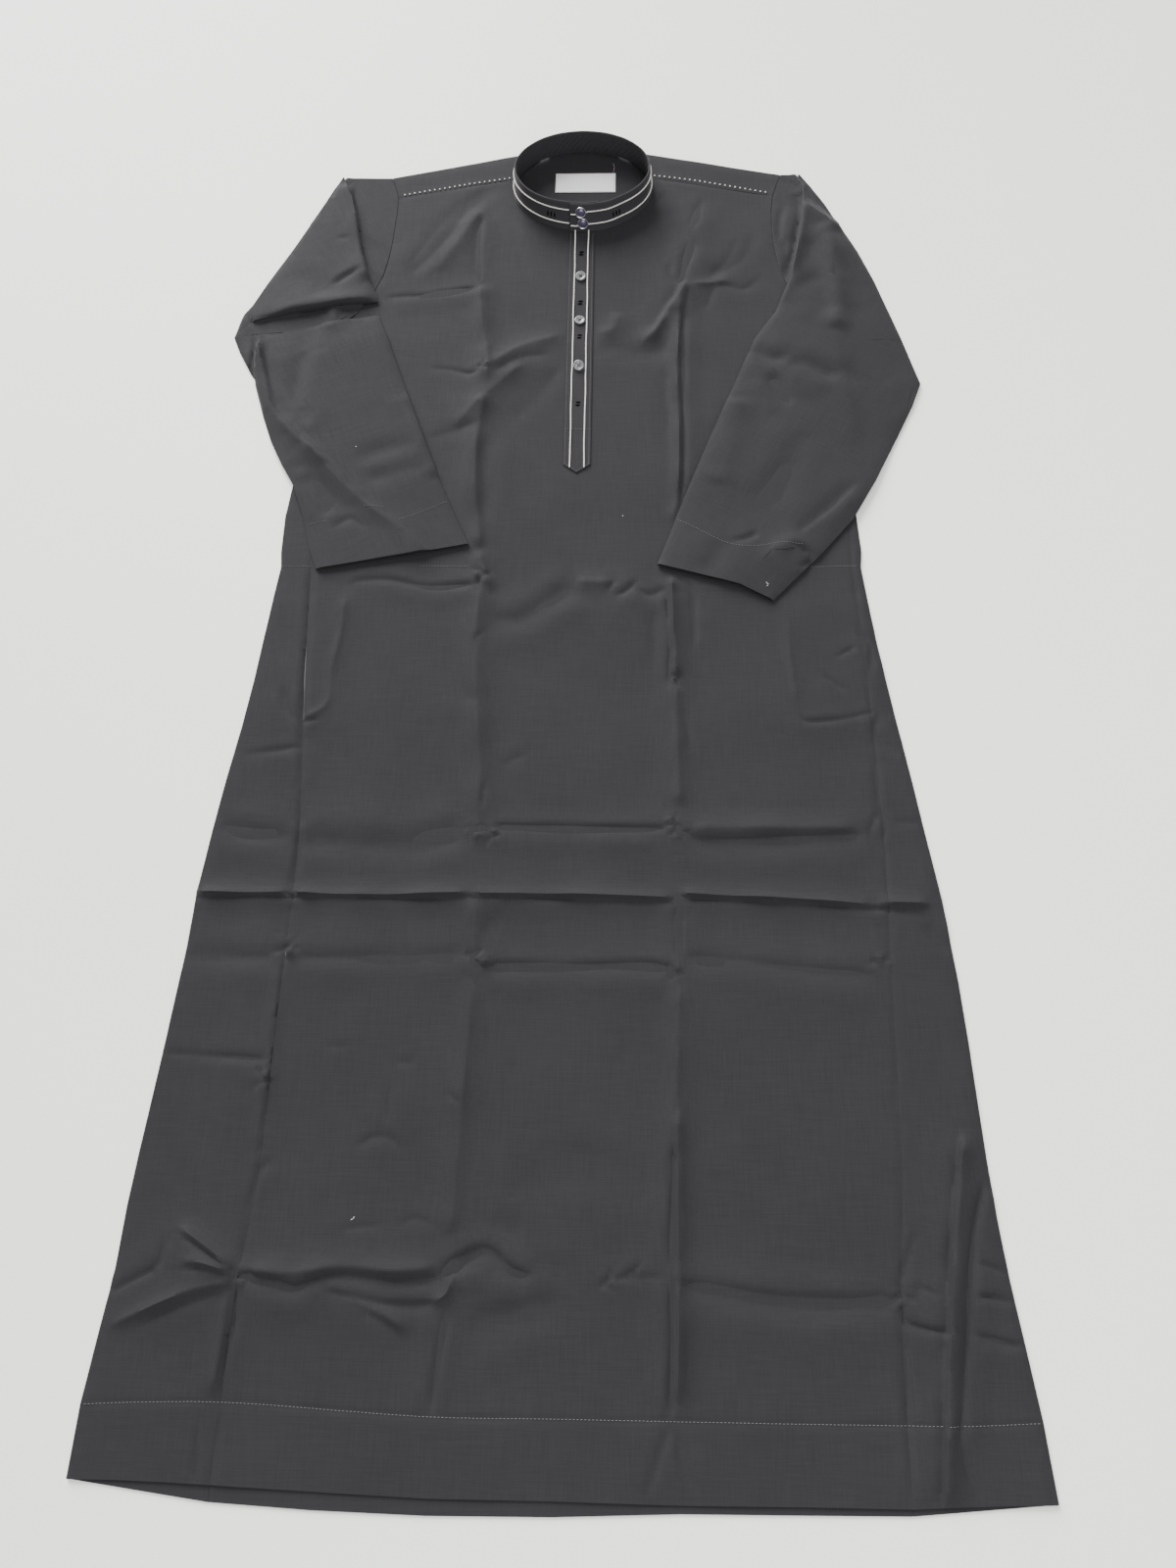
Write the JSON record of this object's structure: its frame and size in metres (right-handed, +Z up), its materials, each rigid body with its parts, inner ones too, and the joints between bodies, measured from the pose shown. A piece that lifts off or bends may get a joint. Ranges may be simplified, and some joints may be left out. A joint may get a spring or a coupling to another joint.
{
  "type": "kurta",
  "caption": "Ankle-length kurta with a stand collar, snapped neck and buttoned placket, laid flat on its back with its sleeves folded over the front.",
  "frame": {"origin": "on the surface that the garment lies on, on its centre line, 0.71 m from the hem's corners towards the collar", "axes": "+Z up from the surface, +Y from the hem towards the collar, +X to the right as seen from the front"},
  "size_m": [0.7925, 1.4625, 0.0345],
  "materials": {
    "charcoal_cloth": "fine plain weave with faint slubs and a slight sheen",
    "pocketing": "plain lining cloth, matt",
    "label_white": "woven white tape, bare",
    "button_grey": "polished resin",
    "snap_enamel": "glossy dark enamel in a bright rim"
  },
  "bodies": {
    "root": {"back_panel": "charcoal_cloth", "front_panel": "charcoal_cloth", "gore_left": "charcoal_cloth", "gore_right": "charcoal_cloth", "yoke_left": "charcoal_cloth", "yoke_right": "charcoal_cloth", "collar": "charcoal_cloth", "placket": "charcoal_cloth", "sleeve_left": "charcoal_cloth", "sleeve_right": "charcoal_cloth", "pocket_left": "pocketing", "pocket_right": "pocketing", "neck_label": "label_white", "snap_upper": "snap_enamel", "snap_lower": "snap_enamel", "button_1": "button_grey", "button_2": "button_grey", "button_3": "button_grey"}
  },
  "joints": []
}
